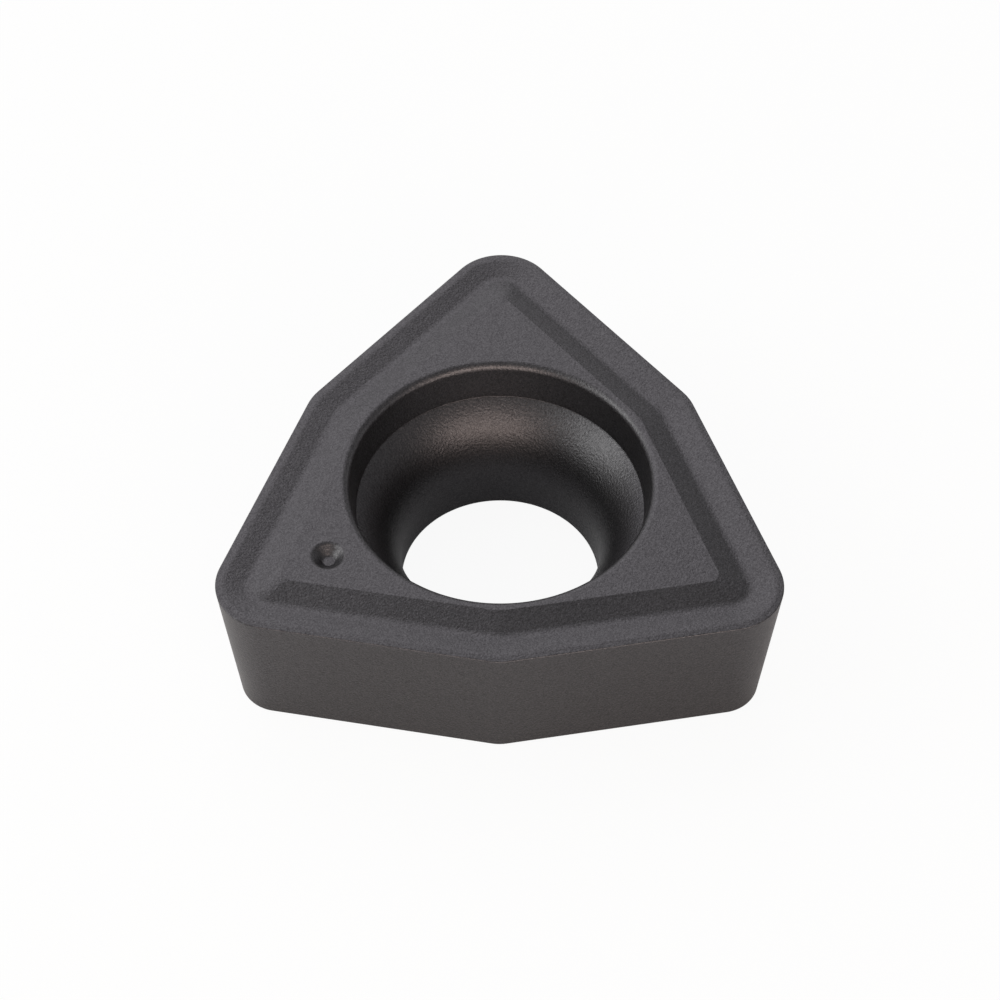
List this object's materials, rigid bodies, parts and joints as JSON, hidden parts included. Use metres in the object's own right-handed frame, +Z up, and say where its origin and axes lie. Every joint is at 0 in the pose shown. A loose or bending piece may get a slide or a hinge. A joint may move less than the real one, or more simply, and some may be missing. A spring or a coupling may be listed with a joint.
{
  "type": "carbide insert",
  "caption": "Trigon cutting insert with relieved flanks, a countersunk screw hole, a groove behind each cutting edge, a raised centre and an index dimple.",
  "frame": {"origin": "on the axis of the screw hole, at the seating face", "axes": "+Z up along the screw hole toward the chipbreaker side, +Y toward one nose, +X to the right of it; the index dimple lies toward the nose on the left at the front (-X, -Y)"},
  "size_m": [0.008, 0.0077, 0.0024],
  "materials": {
    "coated_carbide": "fine matte coating, satin in raking light"
  },
  "bodies": {
    "root": {"insert": "coated_carbide"}
  },
  "joints": []
}
